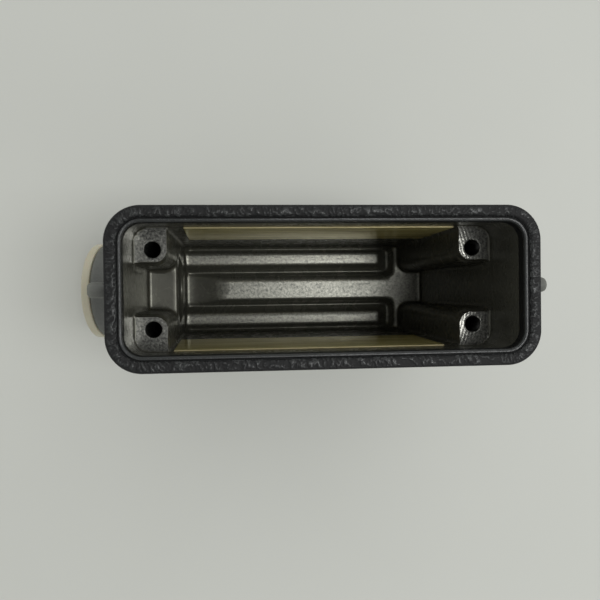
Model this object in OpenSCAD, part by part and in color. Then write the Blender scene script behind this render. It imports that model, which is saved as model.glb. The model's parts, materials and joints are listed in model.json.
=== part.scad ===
// Empty cable-side hood of a heavy duty rectangular connector, 16-pole size, angled side cable entry.
// Frame: origin at the middle of the flat roof, X along the length with the cable entry at -X,
// +Z out of the open mating face. The hood stands on its roof.

/* [Rim] */
// Length over the rim seal
rim_length = 79.5; // [78:0.5:96]
// Width over the rim seal
rim_width = 29.7; // [29:0.1:36]
// Plan radius of the seal's outer corners
rim_corner = 6.5; // [4.5:0.5:9]
// Total height from the roof to the top of the seal
height = 73; // [60:1:90]
// Height of the thicker band below the rim
band_height = 10; // [6:0.5:14]
// How far the band stands proud of the body
band_step = 0.3; // [0.1:0.1:1]

/* [Walls] */
// Thickness of the short end walls at the rim
end_wall = 2.3; // [1.8:0.1:3]
// Thickness of the long side walls at the rim
side_wall = 1.7; // [1.4:0.1:2.4]
// Thickness of the roof under its ribs
roof_wall = 2.4; // [1.8:0.1:4]
// Rounding of the outer roof edge
roof_edge = 4; // [2:0.5:6]
// Plan radius of the cavity corners at the rim
cavity_corner = 3.3; // [2.5:0.1:4.5]
// Draft of the outer faces in degrees
outer_draft = 0.7; // [0.3:0.1:1]
// Draft of the inner faces in degrees
inner_draft = 1.1; // [0.5:0.1:1.4]

/* [Insert bosses] */
// Distance between the insert screws along the length
screw_x = 66; // [64:0.5:68]
// Distance between the insert screws across the width
screw_y = 16; // [14:0.5:17]
// Depth of the boss faces below the top of the seal
face_depth = 18.5; // [12:0.5:22]
// Tapping hole diameter for the insert screws
tap_diameter = 3.3; // [2.5:0.1:4]
// Depth of the tapping holes
tap_depth = 12; // [8:1:16]
// Distance from a screw to the boss face edge towards the middle of the length
boss_reach_x = 2.85; // [2.6:0.05:4]
// Distance from a screw to the boss face edge towards the middle of the width
boss_reach_y = 2.6; // [2.4:0.05:4]
// Radius of the free corner of a boss
boss_corner = 2.5; // [1.5:0.1:3]
// Height of the narrower machined head of a boss
boss_head = 2.5; // [1.5:0.5:5]
// Width of the ledge round the foot of the head
boss_ledge = 0.5; // [0.2:0.1:0.8]
// Draft of the boss flanks in degrees
boss_draft = 0.8; // [0.3:0.1:1.2]

/* [Roof ribs] */
// Height of the ribs on the inside of the roof
rib_height = 1.8; // [1:0.1:2.5]
// Width of the middle rib
mid_rib = 6.2; // [4:0.2:7]
// Distance of the outer ribs from the middle line
side_rib_y = 8.2; // [8:0.1:9]
// Width of the outer ribs
side_rib = 3.4; // [2:0.1:4]
// Slope of the sides of the middle rib, as run on the roof
rib_slope = 1.2; // [0.6:0.1:1.8]
// Slope of the outer ribs towards the middle rib, as run on the roof
rib_inner_slope = 2; // [0.6:0.1:2.2]
// Slope of the outer ribs and of the wall foot towards each other, as run on the roof
rib_outer_slope = 0.9; // [0.4:0.1:1.2]
// Slope of the outer rib ends, as run on the roof
rib_end_slope = 2; // [0.8:0.1:3]
// Gap between the ends of the outer ribs and the cross web
rib_end_gap = 4.2; // [2:0.1:8]
// Width of the cross web at the foot of the far bosses
web = 1.2; // [0.8:0.1:3]
// Length of the ramp in the middle rib below the cable entry
scoop_length = 10.5; // [6:0.5:16]
// Depth of the ramp at its foot, below the rib top
scoop_depth = 1.3; // [0.6:0.1:1.6]

/* [Cable entry] */
// Angle of the entry, dropping outwards towards the roof
entry_angle = 13; // [0:1:18]
// Height of the entry axis above the roof where it meets the cavity
entry_height = 20; // [18:0.5:26]
// Outer diameter of the collar
collar_diameter = 23; // [22:0.5:25]
// Distance from the body's mid plane to the collar face, along the length
collar_reach = 48; // [46:0.5:56]
// Threaded bore of the collar
entry_bore = 18.4; // [16:0.2:19]
// Depth of the threaded bore
entry_thread = 12; // [10:0.5:13]
// Bore of the tunnel behind the thread
tunnel_bore = 16; // [12:0.5:17]
// Thickness of the shelf over the tunnel
shelf_wall = 1.8; // [1.2:0.1:3]
// How far the tunnel block stands in front of the boss flanks
tunnel_step = 0.2; // [0.2:0.1:1.5]

/* [Locking pegs] */
// Diameter of the locking pegs
peg_diameter = 3; // [2.5:0.1:4]
// Distance over both pegs
peg_span = 87.6; // [86.6:0.1:104]
// Distance of the peg axis below the casting rim
peg_drop = 4; // [2.2:0.1:5]
// Diameter of the peg root
peg_root = 4.2; // [3.2:0.1:4.4]

/* [Rim seal] */
// Width of the seal
seal_width = 3; // [2.4:0.1:3.6]
// Height of the seal
seal_height = 3.5; // [2.5:0.1:4.5]
// How far the seal overhangs the band outside
seal_overhang = 0.3; // [0.1:0.1:0.6]
// Width of the plain inner lip of the seal
seal_lip = 0.8; // [0.4:0.1:1.2]
// Drop of the lip below the crown
lip_drop = 0.6; // [0.3:0.1:1]

/* [Side plates] */
// Length of each side plate
plate_length = 55.8; // [40:0.1:58]
// Height of each side plate
plate_height = 25; // [12:0.5:32]
// Thickness of the sheet
plate_sheet = 0.4; // [0.3:0.1:0.8]
// How far each plate is shifted from the middle, in opposite directions
plate_shift = 1.1; // [0:0.1:1.2]

/* [Entry plug] */
// Diameter of the plug flange
plug_diameter = 23.4; // [22:0.1:26]
// Thickness of the plug flange
plug_flange = 2; // [1.2:0.1:3]
// Length of the plug shank
plug_shank = 8; // [5:0.5:10]
// Wall of the hollow shank
plug_wall = 1.6; // [1:0.1:2.5]
// Radial clearance of the shank in the bore
plug_clearance = 0.1; // [0.05:0.05:0.3]
// Width of the driver slot
slot_width = 2.2; // [1:0.1:3]
// Depth of the driver slot
slot_depth = 1.1; // [0.5:0.1:1.2]

/* [Hidden] */
$fn = 64;

// Smallest plan radius of the flat roof face
roof_corner = 0.8;
// Steps in each plan corner of a lofted section
corner_steps = 6;
// Steps in the rounded roof edge
edge_steps = 5;
// Steps in the crown of the seal
crown_steps = 8;
// Overlap that makes cuts clean
eps = 0.01;
// Length by which boss and block sections run on into the walls
bury = 6;

rim_z = height - seal_height;
face_z = height - face_depth;
band_z = rim_z - band_height;
rib_z = roof_wall + rib_height;

// Half sizes of the band, the body below it and the cavity at the rim
band_hx = rim_length / 2 - seal_overhang;
band_hy = rim_width / 2 - seal_overhang;
band_r = rim_corner - seal_overhang;
body_hx = band_hx - band_step;
body_hy = band_hy - band_step;
body_r = band_r - band_step;
cavity_hx = band_hx - end_wall;
cavity_hy = band_hy - side_wall;

// Half length and half width of the cavity at height z
function cavity_x(z) = cavity_hx - (rim_z - z) * tan(inner_draft);
function cavity_y(z) = cavity_hy - (rim_z - z) * tan(inner_draft);
function cavity_r(z) = cavity_corner - (rim_z - z) * tan(inner_draft) / 2;

// Inner flanks of a boss at height z
flank_x = screw_x / 2 - boss_reach_x;
flank_y = screw_y / 2 - boss_reach_y;
function boss_x(z) = flank_x - (face_z - z) * tan(boss_draft);
function boss_y(z) = flank_y - (face_z - z) * tan(boss_draft) * 0.5;

// The entry axis passes through this point of the block's inner face
mouth_x = boss_x(entry_height) - tunnel_step;
mouth = [-mouth_x, 0, entry_height];
shelf_z = entry_height + tunnel_bore / 2 / cos(entry_angle) + shelf_wall;
entry_run = (collar_reach - mouth_x) / cos(entry_angle);

plate_top = face_z;

// A loop of points round a rounded rectangle at height z, counter-clockwise from above
function section(x0, x1, y0, y1, r, z) = [
    for (corner = [[x1 - r, y1 - r, 0], [x0 + r, y1 - r, 90], [x0 + r, y0 + r, 180], [x1 - r, y0 + r, 270]])
        for (i = [0 : corner_steps])
            let (a = corner[2] + 90 * i / corner_steps)
            [corner[0] + r * cos(a), corner[1] + r * sin(a), z]
];
function plan(hx, hy, r, z) = section(-hx, hx, -hy, hy, r, z);

// Skins a stack of point loops, bottom loop first; a ring is closed on itself
module skin(loops, ring = false) {
    n = len(loops[0]);
    m = len(loops);
    points = [for (l = loops) each l];
    sides = [
        for (i = [0 : ring ? m - 1 : m - 2], j = [0 : n - 1])
            let (up = (i + 1) % m, next = (j + 1) % n)
            [i * n + j, up * n + j, up * n + next, i * n + next]
    ];
    caps = ring ? [] : [[for (j = [0 : n - 1]) j], [for (j = [n - 1 : -1 : 0]) (m - 1) * n + j]];
    polyhedron(points, concat(caps, sides), convexity = 8);
}

// Places children in all four corners by mirroring
module four_corners() {
    for (mx = [0, 1], my = [0, 1])
        mirror([mx, 0, 0]) mirror([0, my, 0]) children();
}

// Turns Z into the entry axis pointing outwards, with the origin at the tunnel mouth
module along_entry(distance = 0) {
    translate(mouth) rotate([0, -90 - entry_angle, 0]) translate([0, 0, distance]) children();
}

// Outside of the shell: rounded roof edge, drafted body and rim band
module shell() {
    drop = band_z * tan(outer_draft);
    edge = [
        for (i = [0 : edge_steps])
            let (a = 90 * i / edge_steps, inset = roof_edge * (1 - sin(a)) + drop)
            plan(body_hx - inset, body_hy - inset, max(body_r - inset, roof_corner), roof_edge * (1 - cos(a)))
    ];
    band = [
        plan(body_hx, body_hy, body_r, band_z),
        plan(band_hx, band_hy, band_r, band_z + band_step),
        plan(band_hx, band_hy, band_r, rim_z)
    ];
    skin(concat(edge, band));
}

// Collar of the cable entry with its flared foot
module collar() {
    along_entry() cylinder(d = collar_diameter, h = entry_run);
    foot = (body_hx - mouth_x) / cos(entry_angle);
    along_entry(foot - end_wall) cylinder(d1 = collar_diameter + 3, d2 = collar_diameter, h = end_wall + 4);
}

// One locking peg on the +X end
module peg() {
    reach = peg_span / 2;
    tip = peg_diameter * 0.15;
    inner_end = cavity_hx + end_wall / 2;
    root_start = body_hx - band_step;
    root_end = rim_length / 2 + 0.1;
    translate([0, 0, rim_z - peg_drop]) rotate([0, 90, 0]) {
        translate([0, 0, inner_end]) cylinder(d = peg_diameter, h = reach - tip - inner_end);
        translate([0, 0, reach - tip]) cylinder(d1 = peg_diameter, d2 = peg_diameter - 2 * tip, h = tip);
        translate([0, 0, root_start]) cylinder(d1 = peg_root, d2 = peg_diameter, h = root_end - root_start);
    }
}

// One insert boss in the +X +Y corner, run on into the walls
module boss() {
    far_x = cavity_hx + bury;
    far_y = cavity_hy + bury;
    ledge_z = face_z - boss_head;
    skin([
        section(boss_x(0), far_x, boss_y(0) - boss_ledge, far_y, boss_corner, -1),
        section(boss_x(ledge_z), far_x, boss_y(ledge_z) - boss_ledge, far_y, boss_corner, ledge_z),
        section(boss_x(ledge_z), far_x, boss_y(ledge_z), far_y, boss_corner, ledge_z + boss_ledge / 2),
        section(boss_x(face_z), far_x, boss_y(face_z), far_y, boss_corner, face_z)
    ]);
}

// Block between the near bosses that the cable tunnel runs through
module tunnel_block() {
    far_x = -cavity_hx - bury;
    hy = screw_y / 2;
    skin([
        section(far_x, -boss_x(0) + tunnel_step, -hy, hy, 1, -1),
        section(far_x, -boss_x(shelf_z) + tunnel_step, -hy, hy, 1, shelf_z)
    ]);
}

// Pocket on one side of the middle rib, round the outer rib
module rib_pocket() {
    x0 = -boss_x(rib_z) + tunnel_step;
    x1 = boss_x(rib_z) - web;
    y0 = mid_rib / 2;
    y1 = cavity_y(rib_z);
    r = 1.6;
    b = rib_slope;
    c = rib_inner_slope;
    d = rib_outer_slope;
    rib_end = x1 - rib_end_gap;
    inner = side_rib_y - side_rib / 2;
    outer = side_rib_y + side_rib / 2;
    difference() {
        skin([
            section(x0, x1 - b, y0 + b, y1 - d, r, roof_wall),
            section(x0, x1, y0, y1, r, rib_z + eps)
        ]);
        skin([
            section(x0 - 1, rib_end + rib_end_slope, inner - c, outer + d, 0.8, roof_wall - eps),
            section(x0 - 1, rib_end, inner, outer, 0.8, rib_z + 2 * eps)
        ]);
    }
}

// Dished ramp at the near end of the middle rib, below the cable entry
module scoop() {
    x0 = -boss_x(rib_z) + tunnel_step;
    half = mid_rib / 2 + rib_slope;
    skin([
        section(x0, x0 + scoop_length * 0.25, -half, half, 0.5, rib_z - scoop_depth),
        section(x0, x0 + scoop_length * 0.6, -half, half, 0.5, rib_z - scoop_depth * 0.65),
        section(x0, x0 + scoop_length, -half, half, 0.5, rib_z + eps)
    ]);
}

// Everything that the core of the mould leaves open inside
module core() {
    difference() {
        skin([
            plan(cavity_x(rib_z), cavity_y(rib_z), cavity_r(rib_z), rib_z),
            plan(cavity_hx, cavity_hy, cavity_corner, rim_z),
            plan(cavity_hx, cavity_hy, cavity_corner, rim_z + 1)
        ]);
        four_corners() boss();
        tunnel_block();
    }
    rib_pocket();
    mirror([0, 1, 0]) rib_pocket();
    scoop();
}

// Cable bore: threaded part from the collar face, tunnel behind it
module entry_bores() {
    along_entry(-1) cylinder(d = tunnel_bore, h = entry_run + 1);
    along_entry(entry_run - entry_thread) cylinder(d = entry_bore, h = entry_thread + 1);
}

module hood_casting() {
    color("dimgray")
    difference() {
        union() {
            shell();
            collar();
            peg();
            mirror([1, 0, 0]) peg();
        }
        core();
        entry_bores();
        four_corners()
            translate([screw_x / 2, screw_y / 2, face_z - tap_depth])
                cylinder(d = tap_diameter, h = tap_depth + 1);
    }
}

// Section of the seal as [inset from the outer edge, height], going round once
function seal_profile() =
    let (
        crown_w = seal_width - seal_lip,
        side = seal_height - crown_w / 2,
        crown = [
            for (i = [0 : crown_steps])
                let (a = 180 * i / crown_steps)
                [crown_w / 2 * (1 - cos(a)), side + (seal_height - side) * sin(a)]
        ],
        lip_z = seal_height - lip_drop,
        trimmed = [for (p = crown) if (p[0] < crown_w / 2 || p[1] > lip_z - 0.2) p]
    )
    concat([[0, 0]], trimmed, [[crown_w + 0.1, lip_z], [seal_width, lip_z - 0.1], [seal_width, 0]]);

module rim_seal() {
    color([0.12, 0.12, 0.12])
    skin(
        [
            for (p = seal_profile())
                plan(rim_length / 2 - p[0], rim_width / 2 - p[0], rim_corner - p[0], rim_z + p[1])
        ],
        ring = true
    );
}

// One thin plate lying on a drafted long wall, on the +Y side
module side_plate() {
    length = plate_length;
    back_top = cavity_y(plate_top);
    back_foot = cavity_y(plate_top - plate_height);
    translate([-length / 2, 0, plate_top])
        rotate([90, 0, 90])
            linear_extrude(length)
                polygon([
                    [back_top, 0],
                    [back_top - plate_sheet, 0],
                    [back_foot - plate_sheet, -plate_height],
                    [back_foot, -plate_height]
                ]);
}

module rear_side_plate() {
    color([0.72, 0.65, 0.38]) translate([plate_shift, 0, 0]) side_plate();
}

module front_side_plate() {
    color([0.72, 0.65, 0.38]) translate([-plate_shift, 0, 0]) mirror([0, 1, 0]) side_plate();
}

// Blanking plug: flange on the collar face, hollow shank in the bore, driver slot outside
module entry_plug() {
    shank_d = entry_bore - 2 * plug_clearance;
    color([0.88, 0.86, 0.76])
    along_entry(entry_run)
        difference() {
            union() {
                cylinder(d = plug_diameter, h = plug_flange);
                translate([0, 0, -plug_shank]) cylinder(d = shank_d, h = plug_shank + eps);
            }
            translate([0, 0, -plug_shank - 1]) cylinder(d = shank_d - 2 * plug_wall, h = plug_shank + 1);
            translate([-slot_width / 2, -shank_d / 2, plug_flange - slot_depth])
                cube([slot_width, shank_d, slot_depth + 1]);
        }
}

hood_casting();
rim_seal();
rear_side_plate();
front_side_plate();
entry_plug();
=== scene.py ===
"""The look of an empty connector hood lying on its roof: cast body, rim seal, side plates, entry plug.

The classes hold their sizes in millimetres, their angles in radians and their drafts as slopes.
"""

import json
import logging
import math
from dataclasses import dataclass
from enum import Enum
from typing import Any

import bmesh
import bpy
import numpy as np
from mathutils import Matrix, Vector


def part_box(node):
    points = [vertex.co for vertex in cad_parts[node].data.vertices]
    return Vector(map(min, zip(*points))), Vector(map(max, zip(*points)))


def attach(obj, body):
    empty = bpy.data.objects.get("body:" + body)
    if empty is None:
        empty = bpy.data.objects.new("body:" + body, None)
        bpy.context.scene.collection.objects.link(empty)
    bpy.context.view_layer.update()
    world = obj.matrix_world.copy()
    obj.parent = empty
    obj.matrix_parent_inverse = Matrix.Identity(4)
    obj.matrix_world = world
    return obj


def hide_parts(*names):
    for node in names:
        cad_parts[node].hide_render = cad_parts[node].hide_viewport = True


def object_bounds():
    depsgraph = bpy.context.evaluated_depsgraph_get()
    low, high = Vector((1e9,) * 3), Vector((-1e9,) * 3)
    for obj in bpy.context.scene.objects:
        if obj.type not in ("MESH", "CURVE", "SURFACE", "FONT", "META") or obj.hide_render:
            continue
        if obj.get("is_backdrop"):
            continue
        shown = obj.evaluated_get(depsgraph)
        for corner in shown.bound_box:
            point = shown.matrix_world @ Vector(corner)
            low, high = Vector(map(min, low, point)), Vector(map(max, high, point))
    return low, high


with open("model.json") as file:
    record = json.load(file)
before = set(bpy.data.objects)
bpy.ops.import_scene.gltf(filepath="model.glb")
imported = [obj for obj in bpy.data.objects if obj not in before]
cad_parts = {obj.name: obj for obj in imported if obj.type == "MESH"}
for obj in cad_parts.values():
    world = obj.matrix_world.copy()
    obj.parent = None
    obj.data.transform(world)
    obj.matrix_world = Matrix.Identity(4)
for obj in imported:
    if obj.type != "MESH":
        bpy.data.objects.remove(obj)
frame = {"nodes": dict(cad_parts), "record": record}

import openvdb
from bpy.types import ID, Material, Mesh, Node, NodeSocket, NodeTree, Object
from mathutils import Matrix, Vector

log = logging.getLogger("connector_hood")
MM = 0.001
ROOT = "root"
TINY = 1e-9
Array = np.ndarray
Pair = tuple[float, float]
Triple = tuple[float, float, float]


# ---- small helpers


def srgb(hex_code: str) -> tuple[float, float, float, float]:
    """Turns an sRGB hex colour into linear RGBA.

    Args:
        hex_code: Six hex digits, with or without a leading hash.

    Returns:
        Linear red, green, blue and an alpha of one.
    """
    digits = hex_code.lstrip("#")
    parts = [int(digits[i : i + 2], 16) / 255 for i in (0, 2, 4)]
    linear = [p / 12.92 if p <= 0.04045 else ((p + 0.055) / 1.055) ** 2.4 for p in parts]
    return (linear[0], linear[1], linear[2], 1.0)


def smoothstep(low: float, high: float, x: Array) -> Array:
    """Rises from 0 at low to 1 at high with soft ends, or falls where high is below low."""
    t = np.clip((x - low) / (high - low), 0.0, 1.0)
    return t * t * (3 - 2 * t)


def box_mm(node: str) -> tuple[Array, Array]:
    """Lowest and highest corner of a CAD node in millimetres."""
    low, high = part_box(node)
    return np.array(low) / MM, np.array(high) / MM


def mount(name: str) -> dict[str, Any]:
    """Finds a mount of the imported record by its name."""
    return next(m for m in frame["record"]["mounts"] if m["name"] == name)


def rounded_rect(x: Array, y: Array, hx: Array, hy: Array, r: Array) -> Array:
    """Signed distance to a rounded rectangle about the origin, negative inside.

    Args:
        x: Positions along the length.
        y: Positions across the width.
        hx: Half length.
        hy: Half width.
        r: Corner radius.

    Returns:
        Distance at each position.
    """
    qx, qy = np.abs(x) - hx + r, np.abs(y) - hy + r
    outside = np.hypot(np.maximum(qx, 0), np.maximum(qy, 0))
    return outside + np.minimum(np.maximum(qx, qy), 0) - r


def read(items: Any, field: str, kind: type = float) -> Array:
    """Reads a field of three numbers from every element of a mesh.

    Args:
        items: The vertices, faces, triangles or corner normals.
        field: Name of the field.
        kind: Type of the numbers.

    Returns:
        One row per element.
    """
    out = np.empty(len(items) * 3, kind)
    items.foreach_get(field, out)
    return out.reshape(-1, 3)


def store(mesh: Mesh, name: str, values: Array) -> None:
    """Keeps one number per vertex under a name, by which the mesh's finish reads it."""
    mesh.attributes.new(name, "FLOAT", "POINT").data.foreach_set("value", values.astype(np.float32))


def smooth_mesh(name: str, points: Array, faces: list[Any], *finishes: Material) -> Mesh:
    """Makes a smoothly shaded mesh.

    Args:
        name: Name of the mesh.
        points: Positions in millimetres, one row each.
        faces: The corners of each face.
        *finishes: Materials for its slots.

    Returns:
        The mesh, in metres.
    """
    mesh = bpy.data.meshes.new(name)
    mesh.from_pydata((points * MM).tolist(), [], faces)
    mesh.polygons.foreach_set("use_smooth", [True] * len(mesh.polygons))
    for finish in finishes:
        mesh.materials.append(finish)
    return mesh


def quads(index: Array) -> Array:
    """Corners of the faces between neighbours in a grid of point numbers."""
    return np.stack([index[:-1, :-1], index[1:, :-1], index[1:, 1:], index[:-1, 1:]], axis=-1).reshape(-1, 4)


def show(name: str, data: ID) -> Object:
    """Puts a mesh, lamp or camera into the scene as an object.

    Args:
        name: Name of the object.
        data: Mesh, lamp or camera that it shows.

    Returns:
        The object.
    """
    made = bpy.data.objects.new(name, data)
    bpy.context.scene.collection.objects.link(made)
    return made


# ---- finishes


def add(tree: NodeTree, kind: str, links: dict[str | int, Any] | None = None, **settings: Any) -> Node:
    """Adds one shader node with its settings, values and links.

    Args:
        tree: Tree that gets the node.
        kind: Type name of the node without its ShaderNode prefix.
        links: For each input, by name or number, a value, a hex colour, or the socket or the node that feeds it. A
            node feeds it from its first output.
        **settings: Attributes of the node.

    Returns:
        The new node.
    """
    node = tree.nodes.new("ShaderNode" + kind)
    for name, value in settings.items():
        setattr(node, name, value)
    for key, value in (links or {}).items():
        if isinstance(value, (Node, NodeSocket)):
            tree.links.new(value.outputs[0] if isinstance(value, Node) else value, node.inputs[key])
        else:
            node.inputs[key].default_value = srgb(value) if isinstance(value, str) else value
    return node


def per_mm(size: float) -> float:
    """Scale, for coordinates in metres, of a texture whose features are this many millimetres across."""
    return 1.0 / (size * MM)


@dataclass(frozen=True)
class Finish:
    """Base of all finishes: a name and a method that builds the material."""

    name: str = "finish"

    def build(self) -> Material:
        """Builds the material.

        Returns:
            The material, named as the finish.
        """
        material = bpy.data.materials.new(self.name)
        material.use_nodes = True
        tree = material.node_tree
        tree.nodes.clear()
        shader = self.shade(tree, add(tree, "TexCoord").outputs["Object"])
        add(tree, "OutputMaterial", {"Surface": shader})
        return material

    def shade(self, tree: NodeTree, where: NodeSocket) -> Node:
        """Adds the nodes of the finish.

        Args:
            tree: Tree to fill.
            where: Object coordinates in metres.

        Returns:
            The shader node.
        """
        raise NotImplementedError


def two_tone(tree: NodeTree, pattern: Node, low: float, high: float, first: Any, second: Any) -> NodeSocket:
    """Goes from the first colour to the second as a pattern rises from low to high."""
    share = add(tree, "MapRange", {"Value": pattern, "From Min": low, "From Max": high})
    return add(tree, "Mix", {0: share, 6: first, 7: second}, data_type="RGBA").outputs[2]


def filmed(tree: NodeTree, normal: Node, metal: tuple[Any, Any], film: tuple[Any, Any], share: float | Node) -> Node:
    """Lays a thin dull film over bare metal.

    Args:
        tree: Tree to fill.
        normal: Bumped normals of both layers.
        metal: Colour and roughness of the metal.
        film: Colour and roughness of the film.
        share: How much of the metal the film hides, from 0 to 1.

    Returns:
        The shader node.
    """
    bare = add(tree, "BsdfPrincipled", {
        "Base Color": metal[0], "Roughness": metal[1], "Metallic": 1.0, "Normal": normal})
    dull = add(tree, "BsdfPrincipled", {"Base Color": film[0], "Roughness": film[1], "Normal": normal})
    return add(tree, "MixShader", {0: share, 1: bare, 2: dull})


@dataclass(frozen=True)
class CastAluminium(Finish):
    """Bare die-cast aluminium: bright metal under a thin dull oxide film, with cloudy flow marks and a fine grain."""

    name: str = "die_cast_aluminium"
    dark: str = "#3C3C36"
    light: str = "#53534B"
    pitted: str = "#424340"
    grained: str = "#84847B"
    rubbed: str = "#50504C"
    film: str = "#5C5C52"
    film_roughness: float = 0.4
    film_share: float = 0.45
    edge_film: float = 0.8
    rough_smooth: float = 0.22
    rough_grained: float = 0.25
    rough_cloud: float = 0.1
    rough_edge: float = 0.5
    cloud_mm: float = 4.0
    grain_mm: float = 0.7
    skin_depth_mm: float = 0.008
    grain_depth_mm: float = 0.03

    def shade(self, tree: NodeTree, where: NodeSocket) -> Node:
        """Mixes the smooth drawn skin and the grained raised faces.

        The piece's grain value is 1 where the die was spark-eroded and 0 where it was polished.

        Args:
            tree: Tree to fill.
            where: Object coordinates in metres.

        Returns:
            The shader node.
        """
        cloud = add(tree, "TexNoise", {
            "Vector": where, "Scale": per_mm(self.cloud_mm), "Detail": 5.0, "Roughness": 0.65, "Distortion": 0.6})
        pits = add(tree, "TexNoise", {
            "Vector": where, "Scale": per_mm(self.grain_mm), "Detail": 4.0, "Roughness": 0.75, "Distortion": 0.4})
        zone = add(tree, "Attribute", attribute_name="grain").outputs["Fac"]
        skin = two_tone(tree, cloud, 0.35, 0.65, self.dark, self.light)
        speckle = two_tone(tree, pits, 0.35, 0.6, self.pitted, self.grained)
        metal = add(tree, "Mix", {0: zone, 6: skin, 7: speckle}, data_type="RGBA").outputs[2]
        wear = add(tree, "Attribute", attribute_name="wear").outputs["Fac"]
        edge = add(tree, "MapRange", {"Value": wear, "From Min": 0.2, "From Max": 0.6, "To Max": 0.5})
        worn = add(tree, "Mix", {0: edge, 6: metal, 7: self.rubbed}, data_type="RGBA").outputs[2]
        gloss = add(tree, "MapRange", {"Value": zone, "To Min": self.rough_smooth, "To Max": self.rough_grained})
        cloudy = add(tree, "Math", {0: cloud, 1: self.rough_cloud, 2: gloss}, operation="MULTIPLY_ADD")
        uneven = add(tree, "Math", {0: edge, 1: self.rough_edge, 2: cloudy}, operation="MULTIPLY_ADD")
        depth = add(tree, "MapRange", {
            "Value": zone, "To Min": self.skin_depth_mm * MM, "To Max": self.grain_depth_mm * MM})
        normal = add(tree, "Bump", {"Height": pits, "Strength": 0.8, "Distance": depth})
        share = add(tree, "Math", {0: edge, 1: self.edge_film, 2: self.film_share}, operation="MULTIPLY_ADD")
        return filmed(tree, normal, (worn, uneven), (self.film, self.film_roughness), share)


@dataclass(frozen=True)
class MilledAluminium(Finish):
    """Face-milled aluminium: brighter than the cast skin, with fine curved cutter marks and a speckled film."""

    name: str = "milled_aluminium"
    dark: str = "#5A5A56"
    light: str = "#95958E"
    film: str = "#30312E"
    film_light: str = "#85867F"
    film_roughness: float = 0.5
    film_share: float = 0.5
    roughness: float = 0.17
    mark_mm: float = 2.198
    mark_weight: float = 0.4
    mark_depth_mm: float = 0.035
    speck_mm: float = 0.5

    def shade(self, tree: NodeTree, where: NodeSocket) -> Node:
        """Lays cutter marks and small pores over a pale metal.

        The marks' rings are a third of mark_mm apart, coarser than real ones so that they show.

        Args:
            tree: Tree to fill.
            where: Object coordinates in metres.

        Returns:
            The shader node.
        """
        marks = add(tree, "TexWave", {
            "Vector": where, "Scale": per_mm(self.mark_mm), "Distortion": 1.5, "Detail": 2.0, "Detail Scale": 2.0,
        }, wave_type="RINGS", rings_direction="Z").outputs["Fac"]
        speck = add(tree, "TexNoise", {
            "Vector": where, "Scale": per_mm(self.speck_mm), "Detail": 4.0, "Roughness": 0.7})
        tint = two_tone(tree, speck, 0.4, 0.62, self.dark, self.light)
        dull = two_tone(tree, speck, 0.4, 0.62, self.film, self.film_light)
        height = add(tree, "Math", {0: marks, 1: self.mark_weight, 2: speck}, operation="MULTIPLY_ADD")
        normal = add(tree, "Bump", {"Height": height, "Strength": 0.5, "Distance": self.mark_depth_mm * MM})
        return filmed(tree, normal, (tint, self.roughness), (dull, self.film_roughness), self.film_share)


@dataclass(frozen=True)
class PowderCoat(Finish):
    """Grey polyester powder coat: matt, with a fine orange peel and slightly thinned, lighter edges."""

    name: str = "grey_powder_coat"
    colour: str = "#555752"
    shade_colour: str = "#4B4D49"
    edge_colour: str = "#65675F"
    rough_low: float = 0.44
    rough_high: float = 0.58
    peel_mm: float = 0.8
    peel_depth_mm: float = 0.03
    fleck_mm: float = 0.3
    fleck_weight: float = 0.35

    def shade(self, tree: NodeTree, where: NodeSocket) -> Node:
        """Gives the coat its peel, fleck and edges.

        Args:
            tree: Tree to fill.
            where: Object coordinates in metres.

        Returns:
            The shader node.
        """
        peel = add(tree, "TexNoise", {"Vector": where, "Scale": per_mm(self.peel_mm), "Detail": 2.0})
        fleck = add(tree, "TexNoise", {
            "Vector": where, "Scale": per_mm(self.fleck_mm), "Detail": 2.0, "Roughness": 0.8})
        body = two_tone(tree, fleck, 0.35, 0.65, self.shade_colour, self.colour)
        wear = add(tree, "Attribute", attribute_name="wear").outputs["Fac"]
        edge = add(tree, "MapRange", {"Value": wear, "From Min": 0.08, "From Max": 0.4, "To Max": 0.7})
        worn = add(tree, "Mix", {0: edge, 6: body, 7: self.edge_colour}, data_type="RGBA").outputs[2]
        height = add(tree, "Math", {0: fleck, 1: self.fleck_weight, 2: peel}, operation="MULTIPLY_ADD")
        bump = add(tree, "Bump", {"Height": height, "Strength": 0.7, "Distance": self.peel_depth_mm * MM})
        gloss = add(tree, "MapRange", {
            "Value": peel, "From Min": 0.3, "From Max": 0.7, "To Min": self.rough_low, "To Max": self.rough_high})
        return add(tree, "BsdfPrincipled", {"Base Color": worn, "Roughness": gloss, "Normal": bump})


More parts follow.
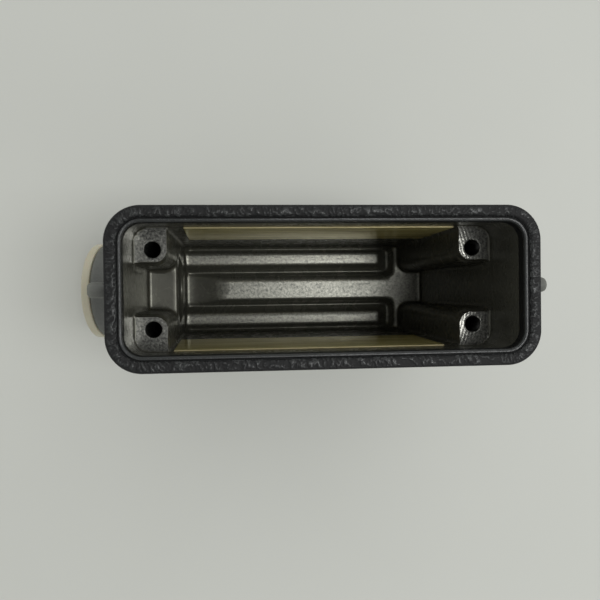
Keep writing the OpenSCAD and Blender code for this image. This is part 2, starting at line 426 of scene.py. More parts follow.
@dataclass(frozen=True)
class BlackRubber(Finish):
    """Moulded black nitrile rubber: nearly black and dull, with a glossier grey on the raised wrinkles, partly
    blooming of the rubber and partly a painted highlight.
    """

    name: str = "black_nitrile_rubber"
    colour: str = "#050606"
    # Grey of the raised wrinkles and of the lip's top band: partly blooming of the rubber, partly painted highlight.
    bloom_and_highlight: str = "#262827"
    rough_low: float = 0.24
    rough_high: float = 0.6
    grain_mm: float = 0.35
    grain_depth_mm: float = 0.06

    def shade(self, tree: NodeTree, where: NodeSocket) -> Node:
        """Gives the rubber its fine grain, and a glossier grey, partly blooming and partly painted highlight, where
        the piece's crest value is high.

        Args:
            tree: Tree to fill.
            where: Object coordinates in metres.

        Returns:
            The shader node.
        """
        grain = add(tree, "TexNoise", {
            "Vector": where, "Scale": per_mm(self.grain_mm), "Detail": 3.0, "Roughness": 0.6})
        height = add(tree, "Attribute", attribute_name="crest").outputs["Fac"]
        raised = add(tree, "MapRange", {"Value": height, "From Min": 0.5, "From Max": 0.95})
        # Raised parts turn grey: partly blooming of the rubber, partly painted highlight.
        tint = add(tree, "Mix", {0: raised, 6: self.colour, 7: self.bloom_and_highlight}, data_type="RGBA").outputs[2]
        gloss = add(tree, "MapRange", {"Value": raised, "To Min": self.rough_high, "To Max": self.rough_low})
        bump = add(tree, "Bump", {"Height": grain, "Strength": 1.0, "Distance": self.grain_depth_mm * MM})
        return add(tree, "BsdfPrincipled", {
            "Base Color": tint, "Roughness": gloss, "IOR": 1.5, "Specular IOR Level": 0.3, "Normal": bump})


@dataclass(frozen=True)
class BrassSheet(Finish):
    """Cold-rolled brass sheet: pale yellow metal with dull patches under a thin film streaked by rolling lines."""

    name: str = "rolled_brass"
    colour: str = "#EFE2AC"
    dull: str = "#CFC289"
    film: str = "#FFF2A8"
    film_dark: str = "#A89C4E"
    film_roughness: float = 0.5
    film_share: float = 0.5
    rough_low: float = 0.06
    rough_high: float = 0.18
    patch_mm: float = 7.0
    line_mm: float = 0.5
    line_length_mm: float = 28.0
    line_depth_mm: float = 0.008

    def shade(self, tree: NodeTree, where: NodeSocket) -> Node:
        """Stretches rolling lines along the sheet, coarser than real ones so that they show.

        Args:
            tree: Tree to fill.
            where: Object coordinates in metres.

        Returns:
            The shader node.
        """
        along = (per_mm(self.line_length_mm), per_mm(self.line_mm), per_mm(self.line_mm))
        drawn = add(tree, "Mapping", {"Vector": where, "Scale": along})
        lines = add(tree, "TexNoise", {"Vector": drawn, "Scale": 1.0, "Detail": 3.0, "Roughness": 0.6})
        patch = add(tree, "TexNoise", {"Vector": where, "Scale": per_mm(self.patch_mm), "Detail": 3.0})
        tint = two_tone(tree, patch, 0.4, 0.7, self.colour, self.dull)
        gloss = add(tree, "MapRange", {
            "Value": lines, "From Min": 0.3, "From Max": 0.7, "To Min": self.rough_low, "To Max": self.rough_high})
        normal = add(tree, "Bump", {"Height": lines, "Strength": 0.6, "Distance": self.line_depth_mm * MM})
        dull = two_tone(tree, lines, 0.4, 0.62, self.film_dark, self.film)
        return filmed(tree, normal, (tint, gloss), (dull, self.film_roughness), self.film_share)


@dataclass(frozen=True)
class IvoryPlastic(Finish):
    """Moulded ivory polyamide: warm off-white, satin, with a fine spark-eroded grain."""

    name: str = "ivory_polyamide"
    colour: str = "#B5B19B"
    shade_colour: str = "#A7A28B"
    roughness: float = 0.42
    patch_mm: float = 5.0
    grain_mm: float = 0.4
    grain_depth_mm: float = 0.015

    def shade(self, tree: NodeTree, where: NodeSocket) -> Node:
        """Gives the plastic its soft mottling and grain.

        Args:
            tree: Tree to fill.
            where: Object coordinates in metres.

        Returns:
            The shader node.
        """
        grain = add(tree, "TexNoise", {"Vector": where, "Scale": per_mm(self.grain_mm), "Detail": 2.0})
        patch = add(tree, "TexNoise", {"Vector": where, "Scale": per_mm(self.patch_mm), "Detail": 3.0})
        tint = two_tone(tree, patch, 0.0, 1.0, self.colour, self.shade_colour)
        bump = add(tree, "Bump", {"Height": grain, "Strength": 0.5, "Distance": self.grain_depth_mm * MM})
        return add(tree, "BsdfPrincipled", {
            "Base Color": tint, "Roughness": self.roughness, "IOR": 1.53, "Normal": bump,
            "Subsurface Weight": 0.08, "Subsurface Scale": 0.6 * MM})


@dataclass(frozen=True)
class TablePaint(Finish):
    """Pale grey painted board for the floor."""

    name: str = "painted_board"
    colour: str = "#C4C6BF"
    shade_colour: str = "#BFC1BA"
    roughness: float = 0.6
    patch_mm: float = 60.0

    def shade(self, tree: NodeTree, where: NodeSocket) -> Node:
        """Gives the board a barely visible mottling.

        Args:
            tree: Tree to fill.
            where: Object coordinates in metres.

        Returns:
            The shader node.
        """
        patch = add(tree, "TexNoise", {"Vector": where, "Scale": per_mm(self.patch_mm), "Detail": 3.0})
        tint = two_tone(tree, patch, 0.0, 1.0, self.colour, self.shade_colour)
        return add(tree, "BsdfPrincipled", {"Base Color": tint, "Roughness": self.roughness})


# ---- distance grids


@dataclass
class DistanceGrid:
    """Signed distances in millimetres on a regular grid, negative inside the material.

    Attributes:
        origin: Position of the first grid point.
        step: Spacing of the grid points.
        values: The distances, cut off at some millimetres from the surface.
        shading: Distances that normals are read from, where these differ from the values.
        flat_band: How far from a milled face its points may lie.
        flat_lean: Least upward part of the normals on a milled face.
    """

    origin: Array
    step: float
    values: Array
    shading: Array | None = None
    flat_band: float = 0.05
    flat_lean: float = 0.4

    @classmethod
    def from_node(cls, node: str, step: float, reach: int = 6) -> "DistanceGrid":
        """Samples the distance to a CAD node's closed surface.

        Args:
            node: Name of the node.
            step: Spacing in millimetres.
            reach: Number of grid steps up to which distances are kept.

        Returns:
            The grid.
        """
        mesh = frame["nodes"][node].data
        mesh.calc_loop_triangles()
        points = np.round(read(mesh.vertices, "co", np.float32) / MM, decimals=4)
        welded, index = np.unique(points, axis=0, return_inverse=True)
        triangles = index.reshape(-1)[read(mesh.loop_triangles, "vertices", np.int32)].astype(np.uint32)
        level = openvdb.FloatGrid.createLevelSetFromPolygons(
            welded.astype(np.float32), triangles=triangles,
            transform=openvdb.createLinearTransform(voxelSize=step), halfWidth=float(reach))
        margin = reach + 2
        first = np.floor(welded.min(0) / step).astype(int) - margin
        last = np.ceil(welded.max(0) / step).astype(int) + margin
        values = np.empty(tuple(last - first), np.float32)
        level.copyToArray(values, ijk=tuple(int(i) for i in first))
        return cls(first * step, step, values)

    def axes(self) -> tuple[Array, Array, Array]:
        """Coordinates along X, Y and Z, shaped to broadcast over the grid."""
        x, y, z = ((self.origin[i] + self.step * np.arange(n, dtype=np.float32)).astype(np.float32)
                   for i, n in enumerate(self.values.shape))
        return x[:, None, None], y[None, :, None], z[None, None, :]

    def layer(self, height: float) -> int:
        """Number of the grid layer nearest to a height in millimetres."""
        return int(round((height - self.origin[2]) / self.step))

    def blurred(self, radius: float, values: Array | None = None) -> Array:
        """Blurs distances, which rounds edges and fills corners.

        Args:
            radius: Standard deviation of the blur in millimetres.
            values: Part of the grid to blur; all of it by default.

        Returns:
            The blurred distances.
        """
        out = np.array(self.values if values is None else values)
        for _ in range(max(1, round(2 * (radius / self.step) ** 2))):
            for axis in range(3):
                line = np.moveaxis(out, axis, 0)
                line[1:-1] = 0.5 * line[1:-1] + 0.25 * (line[:-2] + line[2:])
        return out

    def sample(self, points: Array, values: Array | None = None) -> Array:
        """Reads the grid between its points.

        Args:
            points: Positions in millimetres, one row each.
            values: Values to read; the distances by default.

        Returns:
            One value per position.
        """
        grid = self.values if values is None else values
        at = (points - self.origin) / self.step
        low = np.clip(np.floor(at).astype(int), 0, np.array(grid.shape) - 2)
        part = np.clip(at - low, 0, 1)
        total = np.zeros(len(points))
        for corner in np.ndindex(2, 2, 2):
            weight = np.abs(1 - np.array(corner) - part).prod(axis=1)
            total += weight * grid[tuple((low + corner).T)]
        return total

    def gradient(self, points: Array) -> Array:
        """Unit normals of the surface at positions on it.

        Args:
            points: Positions in millimetres, one row each.

        Returns:
            One unit vector per position, pointing out of the material.
        """
        slope = np.empty((len(points), 3))
        for axis, shift in enumerate(np.eye(3) * self.step):
            slope[:, axis] = self.sample(points + shift, self.shading) - self.sample(points - shift, self.shading)
        length = np.linalg.norm(slope, axis=1, keepdims=True)
        return slope / np.maximum(length, TINY)

    def to_object(self, name: str, merging: float, wear_radius: float, flat_z: float = -1.0) -> Object:
        """Meshes the surface, with true normals and a wear value that is high on edges and low in corners.

        Args:
            name: Name of the object.
            merging: From 0, all faces kept, to 1, flat areas merged strongly.
            wear_radius: Blur in millimetres that tells edges from flat areas.
            flat_z: Height in millimetres of faces milled dead flat.

        Returns:
            The object, in metres.
        """
        level = openvdb.FloatGrid(background=float(self.values.max()))
        level.copyFromArray(np.ascontiguousarray(self.values))
        level.gridClass = openvdb.GridClass.LEVEL_SET
        points, triangles, others = level.convertToPolygons(0.0, merging)
        faces = [f[::-1] for f in triangles.tolist() + others.tolist()]
        mesh = smooth_mesh(name, points.astype(float) * self.step + self.origin, faces)
        mesh.validate(clean_customdata=False)
        points = read(mesh.vertices, "co") / MM
        normals = self.gradient(points)
        on_flat = (np.abs(points[:, 2] - flat_z) < self.flat_band) & (normals[:, 2] > self.flat_lean)
        normals[on_flat] = (0, 0, 1)
        mesh.normals_split_custom_set_from_vertices(normals.tolist())
        store(mesh, "wear", self.sample(points, self.blurred(wear_radius)))
        mesh.update()
        return show(name, mesh)


# ---- sub-assemblies


def place(piece: Object, material_slot: str, *nodes: str) -> None:
    """Puts a piece on the body in place of its CAD nodes.

    Args:
        piece: The finished piece.
        material_slot: A material slot of the record; not used.
        *nodes: CAD nodes that it stands for.
    """
    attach(piece, ROOT)
    if nodes:
        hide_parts(*nodes)
    log.info("%s: %d faces", piece.name, len(piece.data.polygons))


class Side(Enum):
    """Which long wall a plate lies on; the value is the sign of its Y."""

    REAR = 1
    FRONT = -1


@dataclass
class HoodCasting:
    """The die-cast hood: walls, roof ribs, insert bosses, collar and locking pegs in one piece.

    Attributes:
        rib_gain: Height that the roof's stronger rounding takes off and is given back.
        rib_zone: Height up to which that rounding is full, and the band over which it fades.
        wall_mid: Insets of the middle of the walls from the seal's outline; wall_in, of their inner faces.
        skin: Half of the band in which a wall's inside meets its outside.
        boss_raise: How far below and above their faces the bosses are filled out before milling.
        hole_fill: How much wider and deeper than a hole its filling is.
    """

    step: float = 0.24
    merging: float = 0.06
    edge_blur: float = 0.3
    rib_blur: float = 0.38
    rib_gain: float = 0.06
    rib_zone: Pair = (7.0, 2.0)
    wall_top: float = 69.5
    wall_mid: Pair = (1.6, 1.15)
    wall_in: Pair = (2.6, 2.0)
    wall_corner: float = 4.6
    wall_draft: float = 0.0157
    cavity_corner: float = 3.3
    least_corner: float = 0.5
    inner_draft: float = math.tan(math.radians(1.1))
    skin: float = 0.3
    roof_mid: float = 1.2
    boss_zone: Pair = (28.0, 3.6)
    boss_raise: Pair = (0.9, 1.8)
    hole_r: float = 2.05
    hole_depth: float = 12.0
    hole_fill: Pair = (0.4, 0.6)
    face_band: float = 0.06
    face_up: float = 0.98
    milled_from: float = 4.6
    entry_angle: float = math.radians(13)
    bore_r: float = 9.6
    wear_radius: float = 0.7
    rib_top: float = 4.2
    grain_up: Pair = (0.93, 0.985)
    grain_band: float = 0.3

    def build(self) -> Object:
        """Builds, dresses and places the casting.

        Returns:
            The piece.
        """
        grid = DistanceGrid.from_node("hood_casting", self.step)
        self.soften(grid)
        self.machine(grid)
        piece = grid.to_object("cast_hood", self.merging, self.wear_radius, self.face())
        self.dress(piece.data)
        place(piece, "cast_aluminium", "hood_casting")
        return piece

    def screws(self) -> list[Triple]:
        """Reads where the four tapped holes are.

        Returns:
            Their centres in the milled faces.
        """
        pattern = mount("insert_screws")
        x, y = pattern["dims"]["spacing_x_mm"] / 2, pattern["dims"]["spacing_y_mm"] / 2
        z = pattern["pos_m"][2] / MM
        return [(sx * x, sy * y, z) for sx in (-1, 1) for sy in (-1, 1)]

    def face(self) -> float:
        """Height of the milled boss faces."""
        return self.screws()[0][2]

    def soften(self, grid: DistanceGrid) -> None:
        """Rounds the cast edges, more so on the roof ribs, after filling the holes and raising the bosses.

        Args:
            grid: Distances of the casting; changed in place.
        """
        x, y, z = grid.axes()
        face, (wider, deeper) = self.face(), self.hole_fill
        for sx, sy, _ in self.screws():
            plug = np.maximum(np.hypot(x - sx, y - sy) - (self.hole_r + wider),
                              np.maximum(z - face, face - self.hole_depth - deeper - z))
            np.minimum(grid.values, plug, out=grid.values)
        first, last = grid.layer(face - self.boss_raise[0]), grid.layer(face + self.boss_raise[1])
        boss = ((np.abs(x) > self.boss_zone[0]) & (np.abs(y) > self.boss_zone[1]))[:, :, 0]
        for k in range(first + 1, last):
            layer = grid.values[:, :, k]
            layer[boss] = np.minimum(layer, grid.values[:, :, first])[boss]
        soft = grid.blurred(self.edge_blur)
        full, fade = self.rib_zone
        roof = (slice(None), slice(None), slice(grid.layer(full + 2 * fade)))
        low = z[:, :, roof[2]]
        strong = grid.blurred(self.rib_blur, grid.values[roof]) - self.rib_gain
        weight = smoothstep(full + fade, full, low) * self.inside(x, y, low)
        soft[roof] += (strong - soft[roof]) * weight.astype(np.float32)
        grid.values = soft

    def inside(self, x: Array, y: Array, z: Array) -> Array:
        """Weight that is 1 within the hollow of the hood and 0 outside its walls.

        Args:
            x: Positions along the length.
            y: Positions across the width.
            z: Heights.

        Returns:
            The weight.
        """
        lean = (self.wall_top - z) * self.wall_draft
        rim = box_mm("rim_seal")[1]
        wall = rounded_rect(x, y, rim[0] - self.wall_mid[0] - lean, rim[1] - self.wall_mid[1] - lean,
                            self.wall_corner - lean)
        return smoothstep(-self.skin, self.skin, np.minimum(-wall, z - self.roof_mid))

    def machine(self, grid: DistanceGrid) -> None:
        """Mills the boss faces flat and opens the tapped holes.

        Args:
            grid: Distances of the casting; changed in place.
        """
        x, y, z = grid.axes()
        depth = self.face() - z
        lean = (self.wall_top - z) * self.inner_draft
        rim = box_mm("rim_seal")[1]
        hollow = rounded_rect(x, y, rim[0] - self.wall_in[0] - lean, rim[1] - self.wall_in[1] - lean,
                              np.maximum(self.cavity_corner - lean / 2, self.least_corner))
        np.maximum(grid.values, -np.maximum(depth, hollow).astype(np.float32), out=grid.values)
        grid.shading = grid.values.copy()
        for sx, sy, _ in self.screws():
            hole = np.maximum(np.hypot(x - sx, y - sy) - self.hole_r, depth - self.hole_depth)
            np.maximum(grid.values, -hole.astype(np.float32), out=grid.values)

    def dress(self, mesh: Mesh) -> None:
        """Gives the outside its coat, the inside its bare skin and the boss faces their milled look.

        Args:
            mesh: The casting's mesh.
        """
        for finish in (PowderCoat(), CastAluminium(), MilledAluminium()):
            mesh.materials.append(finish.build())
        centre, up = read(mesh.polygons, "center") / MM, read(mesh.polygons, "normal")[:, 2]
        x, y, z = centre.T
        bare = self.inside(x, y, z) > 0.5
        low, high = box_mm("entry_plug")
        axis = np.array([-math.cos(self.entry_angle), 0, -math.sin(self.entry_angle)])
        offset = centre - (low + high) / 2
        off_axis = np.linalg.norm(offset - np.outer(offset @ axis, axis), axis=1)
        bare |= (off_axis < self.bore_r) & (x < 0)
        flat = (up > self.face_up) & (np.abs(z - self.face()) < self.face_band)
        milled = bare & flat & (np.abs(y) > self.milled_from)
        self.add_grain(mesh)
        mesh.polygons.foreach_set("material_index", np.where(milled, 2, bare).astype(np.int32))
        mesh.update()

    def add_grain(self, mesh: Mesh) -> None:
        """Marks the rib tops, whose part of the die was spark-eroded, with a grain value of 1.

        Args:
            mesh: The casting's mesh.
        """
        owner = np.empty(len(mesh.loops), np.int32)
        mesh.loops.foreach_get("vertex_index", owner)
        up = np.zeros(len(mesh.vertices))
        up[owner] = read(mesh.corner_normals, "vector", np.float32)[:, 2]
        height = read(mesh.vertices, "co")[:, 2] / MM
        store(mesh, "grain", smoothstep(*self.grain_up, up) * (np.abs(height - self.rib_top) < self.grain_band))


@dataclass
class TappedThreads:
    """The metric threads in the four insert bosses: turned liners, each with a fine spot face round its mouth.

    Attributes:
        tooth: Gain and offset that give the tooth flat crests and roots.
        tip: Radius and length of the drilled tip below the thread.
        mouth_rings: Rings of faces that belong to the spot face.
    """

    crest_r: float = 1.62
    root_r: float = 1.95
    pitch: float = 0.7
    tooth: Pair = (1.3, 0.15)
    depth: float = 11.5
    tip: Pair = (0.05, 0.9)
    chamfer: float = 0.14
    spot_r: float = 2.3
    spot_height: float = 0.005
    spot_sink: float = 0.003
    spot_edge: float = 0.15
    mouth_land: float = 0.03
    mouth_rings: int = 4
    around: int = 48
    per_pitch: int = 8

    def rings(self) -> tuple[Array, Array]:
        """Radius and depth of each ring of points, from the edge of the spot face down to the bottom.

        Returns:
            Radii and depths, one row per ring and one column per point round the axis.
        """
        turn = np.arange(self.around) / self.around
        down = np.linspace(self.chamfer, self.depth, int(self.depth / self.pitch * self.per_pitch))[:, None]
        tooth = np.abs(2 * ((down / self.pitch + turn[None, :]) % 1.0) - 1)
        grow = smoothstep(self.chamfer, 4 * self.chamfer, down)
        gain, offset = self.tooth
        thread = self.crest_r + (self.root_r - self.crest_r) * np.clip(gain * tooth - offset, 0, 1) * grow
        mouth_r = self.crest_r + self.chamfer
        mouth = [(self.spot_r, self.spot_sink), (self.spot_r - self.spot_edge, -self.spot_height),
                 (mouth_r + self.mouth_land, -self.spot_height), (mouth_r, 0.0)]
        flat = np.ones((1, self.around))
        radius = np.concatenate([r * flat for r, _ in mouth] + [thread, self.tip[0] * flat])
        depth = np.concatenate([d * flat for _, d in mouth] + [down * flat, (self.depth + self.tip[1]) * flat])
        return radius, depth

    def build(self, screws: list[Triple]) -> Object:
        """Builds the four liners in one mesh and places them.

        Args:
            screws: Centres of the holes in their faces.

        Returns:
            The piece.
        """
        radius, depth = self.rings()
        count, n = radius.shape
        angle = 2 * math.pi * np.arange(n) / n
        liner = quads(np.pad(np.arange(count * n).reshape(count, n), ((0, 0), (0, 1)), mode="wrap"))
        points = np.stack([np.stack([sx + radius * np.cos(angle), sy + radius * np.sin(angle), face - depth], axis=-1)
                           for sx, sy, face in screws]).reshape(-1, 3)
        faces = np.concatenate([liner + hole * count * n for hole in range(len(screws))])
        # The thread faces below the mouth rings take a much darker copy of the milled finish: painted shade for the
        # inside of the deep holes.
        tapped = MilledAluminium("tapped_hole_painted_shade", dark="#2E2E2C", light="#4A4A47", film="#1E1F1C",
                                 film_light="#2C2D2A")
        mesh = smooth_mesh("tapped_threads", points, faces.tolist(), MilledAluminium().build(), tapped.build())
        shaded_hole_faces = np.tile(np.repeat(np.arange(count - 1) >= self.mouth_rings, n), len(screws))
        mesh.polygons.foreach_set("material_index", shaded_hole_faces.astype(np.int32))
        piece = show("tapped_threads", mesh)
        place(piece, "cast_aluminium")
        return piece


def value_noise(u: Array, v: Array, period: int, seed: int) -> Array:
    """Smooth random values from 0 to 1 over two coordinates, periodic in the first.

    Args:
        u: First coordinate, in cells.
        v: Second coordinate, in cells.
        period: Number of cells after which the first coordinate repeats.
        seed: Seed of the random lattice.

    Returns:
        One value per position.
    """
    rows = 64
    lattice = np.random.default_rng(seed).random((period, rows))
    iu, iv = np.floor(u).astype(int), np.floor(v).astype(int)
    fu, fv = smoothstep(0, 1, u - iu), smoothstep(0, 1, v - iv)
    a, b = lattice[iu % period, iv % rows], lattice[(iu + 1) % period, iv % rows]
    c, d = lattice[iu % period, (iv + 1) % rows], lattice[(iu + 1) % period, (iv + 1) % rows]
    return (a * (1 - fu) + b * fu) * (1 - fv) + (c * (1 - fu) + d * fu) * fv


@dataclass
class RimSeal:
    """The moulded rubber seal on the rim: a wrinkled crown outside and a smooth lip inside.

    Attributes:
        lip_section: Inset past the crown and drop below the lip's top, from the groove inwards.
        crown_power: Exponent of the crown's section; 1 is an ellipse and less is squarer.
        wrinkle_from: Insets between which the wrinkles reach their full depth.
        wrinkle_lean: Mean lean of the wrinkles and how much it varies.
        shares: Weights of the strokes, the blobs and the fine grain.
        crest_band: Heights between which the wrinkles rise from valley to crest.
        lip_highlight_from: Inset past the crown, and share of the height, from which the lip's top band gets the grey
            painted highlight.
    """

    corner: float = 6.5
    width: float = 3.0
    lip: float = 0.8
    lip_drop: float = 0.6
    lip_section: tuple[Pair, ...] = (
        (0.06, 0.1), (0.14, 0.02), (0.3, 0.0), (0.5, 0.02), (0.68, 0.07), (0.77, 0.16), (0.8, 0.3))
    crown_drop: float = 0.8
    crown_power: float = 0.62
    crown_dip: float = 0.12
    crown_rows: int = 30
    side_rows: int = 8
    pitch: float = 0.15
    wrinkle: float = 0.16
    wrinkle_from: Pair = (0.1, 0.6)
    wrinkle_pitch: float = 0.45
    wrinkle_lean: Pair = (1.2, 2.0)
    lean_mm: float = 4.0
    warp: float = 1.6
    warp_mm: float = 0.8
    stroke_mm: float = 0.9
    blob_mm: float = 0.3
    fine_mm: float = 0.2
    shares: Triple = (0.5, 0.3, 0.3)
    crest_band: Pair = (0.35, 0.75)
    lip_highlight_from: Pair = (0.2, 0.6)

    def outline(self) -> tuple[Array, Array, Array]:
        """Walks round the outer edge.

        Returns:
            Corner centres, unit directions outwards and distances walked, one row per column.
        """
        low, high = box_mm("rim_seal")
        hx, hy = (high[0] - low[0]) / 2 - self.corner, (high[1] - low[1]) / 2 - self.corner
        bends = [(hx, hy), (-hx, hy), (-hx, -hy), (hx, -hy)]
        turns = int(self.corner * math.pi / 2 / self.pitch)
        stops = []
        for i, (cx, cy) in enumerate(bends):
            dx, dy = bends[(i + 1) % 4][0] - cx, bends[(i + 1) % 4][1] - cy
            count = int(math.hypot(dx, dy) / self.pitch)
            stops += [(cx, cy, 90 * i + 90 * j / turns) for j in range(turns)]
            stops += [(cx + dx * (j / count), cy + dy * (j / count), 90 * i + 90) for j in range(count)]
        centres = np.array([stop[:2] for stop in stops])
        outward = np.array([(math.cos(math.radians(a)), math.sin(math.radians(a))) for _, _, a in stops])
        edge = centres + outward * self.corner
        steps = np.linalg.norm(np.roll(edge, -1, axis=0) - edge, axis=1)
        return centres, outward, np.concatenate([[0], np.cumsum(steps)[:-1]])

    def profile(self) -> tuple[Array, Array, Array]:
        """Section of the seal.

        Returns:
            Points as inset and height, their outward normals and how much each may wrinkle.
        """
        low, high = box_mm("rim_seal")
        tall = high[2] - low[2]
        crown = self.width - self.lip
        side = tall - self.crown_drop
        lip_top = tall - self.lip_drop
        pts = [(0.0, h) for h in np.linspace(0, side, self.side_rows + 1)[:-1]]
        for a in np.radians(np.linspace(0, 180, self.crown_rows + 1)[:-1]):
            c, t = math.cos(a), math.sin(a)
            pts.append((crown / 2 * (1 - math.copysign(abs(c) ** self.crown_power, c)),
                        side + self.crown_drop * t ** self.crown_power - self.crown_dip * c * c * t))
        pts += [(crown, side)] + [(crown + inset, lip_top - drop) for inset, drop in self.lip_section]
        pts += [(self.width, h) for h in np.linspace(pts[-1][1], 0, self.side_rows + 1)[1:]]
        pts = np.array(pts + [(self.width / 2, 0.0)])
        along = np.roll(pts, -1, axis=0) - np.roll(pts, 1, axis=0)
        normal = np.stack([-along[:, 1], along[:, 0]], axis=1)
        normal /= np.maximum(np.linalg.norm(normal, axis=1, keepdims=True), TINY)
        on_crown = (pts[:, 1] > side - TINY) & (pts[:, 0] < crown)
        return pts, normal, smoothstep(*self.wrinkle_from, pts[:, 0]) * on_crown

    def wrinkles(self, walked: Array, across: Array) -> Array:
        """Height of the wrinkled grain, 0 in its valleys and 1 on its crests.

        Args:
            walked: Distance round the rim for each column.
            across: Distance over the crown for each profile point.

        Returns:
            One value per column and profile point.
        """
        s, t = np.meshgrid(walked, across, indexing="ij")
        total = walked[-1] + self.pitch
        cells, slow = round(total / self.wrinkle_pitch), round(total / self.lean_mm)
        scale = cells / total
        mean, spread = self.wrinkle_lean
        lean = mean + spread * (value_noise(s * slow / total, t * 0, slow, seed=3) - 0.5)
        warp = self.warp * (value_noise(s * scale / 2, t / self.warp_mm, cells // 2, seed=5) - 0.5)
        layers = (value_noise(s * scale + lean * t + warp, t / self.stroke_mm + warp + 7, cells, seed=11),
                  value_noise(s * scale * 2, t / self.blob_mm + 3, cells * 2, seed=17),
                  value_noise(s * scale * 3, t / self.fine_mm, cells * 3, seed=23))
        return smoothstep(*self.crest_band, sum(share * layer for share, layer in zip(self.shares, layers)))

    def build(self) -> Object:
        """Builds, dresses and places the seal.

        Returns:
            The piece.
        """
        low, _ = box_mm("rim_seal")
        centres, outward, walked = self.outline()
        pts, normal, allow = self.profile()
        run = np.concatenate([[0], np.cumsum(np.linalg.norm(np.diff(pts, axis=0), axis=1))])
        grain = self.wrinkles(walked, run)
        sink = (1 - grain) * allow[None, :] * self.wrinkle
        inset = pts[None, :, 0] - normal[None, :, 0] * sink
        height = pts[None, :, 1] - normal[None, :, 1] * sink
        inset, height = np.maximum(inset, 0), np.clip(height, 0, pts[:, 1].max())
        reach = (self.corner - inset)[:, :, None]
        flat = centres[:, None, :] + outward[:, None, :] * reach
        points = np.concatenate([flat, (low[2] + height)[:, :, None]], axis=2)
        faces = quads(np.pad(np.arange(inset.size).reshape(inset.shape), ((0, 1), (0, 1)), mode="wrap"))
        mesh = smooth_mesh("wrinkled_seal", points.reshape(-1, 3), faces.tolist(), BlackRubber().build())
        # The crest value greys and glosses the rubber: on wrinkle crests partly blooming and partly painted
        # highlight, on the lip's top band painted highlight alone.
        past, share = self.lip_highlight_from
        lip_highlight_band = (pts[:, 0] > self.width - self.lip + past) & (pts[:, 1] > pts[:, 1].max() * share)
        store(mesh, "crest", (grain * allow[None, :] + lip_highlight_band[None, :]).ravel())
        mesh.update()
        piece = show("wrinkled_seal", mesh)
        place(piece, "black_rubber", "rim_seal")
        return piece


@dataclass
class SidePlate:
    """A thin brass plate on a long wall, slightly wavy as cut sheet is.

    Attributes:
        edge_row: Width of the outermost row of the mesh, over which the shading turns to the cut edge.
        wave_start: Where in the random pattern the waves start, in waves.
    """

    side: Side
    sheet: float = 0.4
    grid: float = 0.7
    edge_row: float = 0.07
    waviness: float = 0.05
    wave_mm: float = 11.0
    wave_start: float = 3.0

    def build(self, finish: Material, cut_finish: Material) -> Object:
        """Builds, dresses and places the plate.

        Args:
            finish: Material of the rolled faces.
            cut_finish: Material of the sheared edges.

        Returns:
            The piece.
        """
        node = "rear_side_plate" if self.side is Side.REAR else "front_side_plate"
        low, high = box_mm(node)
        sign = self.side.value
        outer_top = max(abs(low[1]), abs(high[1]))
        outer_foot = min(abs(low[1]), abs(high[1])) + self.sheet
        gx, gz = np.meshgrid(self.rows(low[0], high[0]), self.rows(low[2], high[2]), indexing="ij")
        wall = outer_foot + (outer_top - outer_foot) * (gz - low[2]) / (high[2] - low[2])
        along, up = ((g - start) / self.wave_mm + self.wave_start for g, start in ((gx, low[0]), (gz, low[2])))
        bow = self.waviness * value_noise(along, up, period=64, seed=31 + sign)
        front = np.stack([gx, sign * (wall - self.sheet + bow), gz], axis=-1)
        back = np.stack([gx, sign * wall, gz], axis=-1)
        points = np.concatenate([front.reshape(-1, 3), back.reshape(-1, 3)])
        count = gx.size
        index = np.arange(count).reshape(gx.shape)
        sheet = quads(index)
        loop = np.concatenate([index[:-1, 0], index[-1, :-1], index[:0:-1, -1], index[0, :0:-1]])
        ahead = np.roll(loop, -1)
        strip = np.stack([loop, loop + count, ahead + count, ahead], axis=1)
        faces = np.concatenate([sheet, sheet[:, ::-1] + count, strip]).tolist()
        mesh = smooth_mesh(node, points, faces, finish, cut_finish)
        mesh.validate()
        self.face_outwards(mesh)
        cut = np.arange(len(faces)) >= len(faces) - len(strip)
        mesh.polygons.foreach_set("material_index", cut.astype(np.int32))
        piece = show(f"brass_{self.side.name.lower()}_plate", mesh)
        place(piece, "brass_sheet", node)
        return piece

    def rows(self, start: float, end: float) -> Array:
        """Places of the mesh rows between two edges, with a narrow row at each."""
        inner = np.linspace(start + self.edge_row, end - self.edge_row, int((end - start) / self.grid) + 1)
        return np.concatenate([[start], inner, [end]])

    def face_outwards(self, mesh: Mesh) -> None:
        """Turns all faces outwards.

        Args:
            mesh: The plate's mesh.
        """
        work = bmesh.new()
        work.from_mesh(mesh)
        bmesh.ops.recalc_face_normals(work, faces=work.faces)
        work.to_mesh(mesh)
        work.free()


@dataclass
class EntryPlug:
    """The ivory blanking plug in the cable entry, with soft moulded edges."""

    step: float = 0.15
    edge_blur: float = 0.2
    merging: float = 0.05
    wear_radius: float = 0.4

    def build(self) -> Object:
        """Builds, dresses and places the plug.

        Returns:
            The piece.
        """
        grid = DistanceGrid.from_node("entry_plug", self.step)
        grid.values = grid.blurred(self.edge_blur)
        piece = grid.to_object("ivory_plug", self.merging, self.wear_radius)
        piece.data.materials.append(IvoryPlastic().build())
        place(piece, "ivory_plastic", "entry_plug")
        return piece


# ---- stage


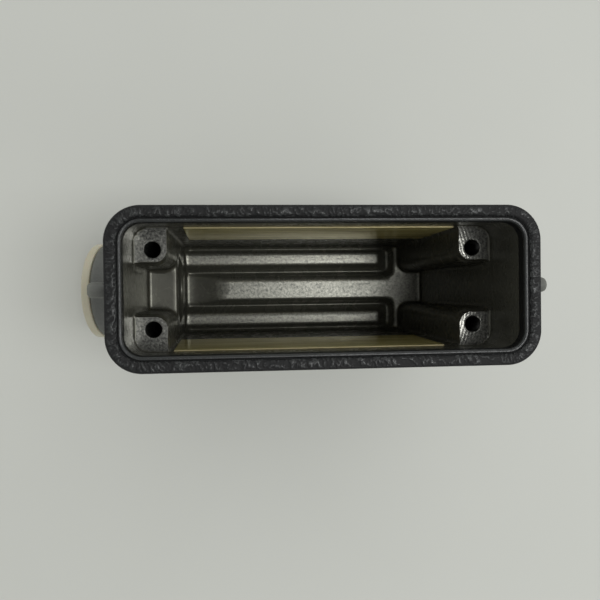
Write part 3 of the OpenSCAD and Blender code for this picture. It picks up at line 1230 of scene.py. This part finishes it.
@dataclass
class Studio:
    """Floor, soft light and camera.

    Attributes:
        sees: Nearest and farthest distance that the camera sees.
        key_power: Power of the key lamp in watts.
        fill_level: Brightness of the room at fill_from and below, measured along fill_axis.
        fill_above: Its brightness at the other end of that axis, overhead.
    """

    floor_half: float = 1500.0
    camera_at: Triple = (-18.9, -0.4, 200.3)
    pitch: float = 0.0142
    yaw: float = 0.1057
    roll: float = 0.0131
    lens: float = 43.0
    sensor: float = 36.0
    sees: Pair = (10.0, 10000.0)
    key_at: Triple = (192.0, -34.0, 650.0)
    key_size: Pair = (270.0, 140.0)
    key_power: float = 1.5
    fill_above: float = 0.42
    fill_level: float = 1.62
    fill_from: float = -0.36
    fill_axis: Triple = (-0.2, -0.3, 1.0)

    def build(self) -> None:
        """Builds the whole stage."""
        self.floor()
        self.lamps()
        self.camera()

    def floor(self) -> None:
        """Lays the pale floor under the hood."""
        h, z = self.floor_half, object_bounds()[0].z / MM
        points = np.array([(-h, -h, z), (h, -h, z), (h, h, z), (-h, h, z)])
        show("floor", smooth_mesh("floor", points, [(0, 1, 2, 3)], TablePaint().build()))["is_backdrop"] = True

    def lamps(self) -> None:
        """Hangs one large soft key lamp in a room that is dim overhead and brightest towards two sides."""
        lamp = bpy.data.lights.new("key", "AREA")
        lamp.shape = "RECTANGLE"
        lamp.size, lamp.size_y = self.key_size[0] * MM, self.key_size[1] * MM
        lamp.energy = self.key_power
        show("key", lamp).location = Vector(self.key_at) * MM
        world = bpy.data.worlds.new("room")
        world.use_nodes = True
        tree = world.node_tree
        tree.nodes.clear()
        along = add(tree, "VectorMath", {0: add(tree, "TexCoord"), 1: self.fill_axis}, operation="DOT_PRODUCT")
        fill = add(tree, "MapRange", {"Value": along.outputs["Value"], "From Min": self.fill_from,
                                      "To Min": self.fill_level, "To Max": self.fill_above})
        add(tree, "OutputWorld", {"Surface": add(tree, "Background", {"Color": "#FFFFFF", "Strength": fill})})
        bpy.context.scene.world = world

    def camera(self) -> None:
        """Sets the camera almost straight above the open mouth."""
        data = bpy.data.cameras.new("camera")
        data.sensor_width = self.sensor
        data.lens = self.lens
        data.clip_start, data.clip_end = self.sees[0] * MM, self.sees[1] * MM
        turn = (Matrix.Rotation(self.roll, 3, "Z") @ Matrix.Rotation(self.pitch, 3, "X")
                @ Matrix.Rotation(self.yaw, 3, "Y"))
        camera = show("camera", data)
        camera.matrix_world = Matrix.Translation(Vector(self.camera_at) * MM) @ turn.transposed().to_4x4()
        bpy.context.scene.camera = camera
        bpy.context.scene.view_settings.view_transform = "Standard"


def main() -> None:
    """Builds every piece in order and reports it."""
    logging.basicConfig(level=logging.INFO, format="%(name)s %(message)s")
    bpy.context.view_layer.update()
    casting = HoodCasting()
    casting.build()
    TappedThreads().build(casting.screws())
    RimSeal().build()
    brass = BrassSheet().build()
    sheared = BrassSheet("sheared_brass", colour="#CFC498", dull="#B5AA80", film="#BFB58C", film_dark="#A0966C",
                         rough_low=0.35, rough_high=0.5).build()
    for side in Side:
        SidePlate(side).build(brass, sheared)
    EntryPlug().build()
    Studio().build()


if __name__ == "__main__":
    main()
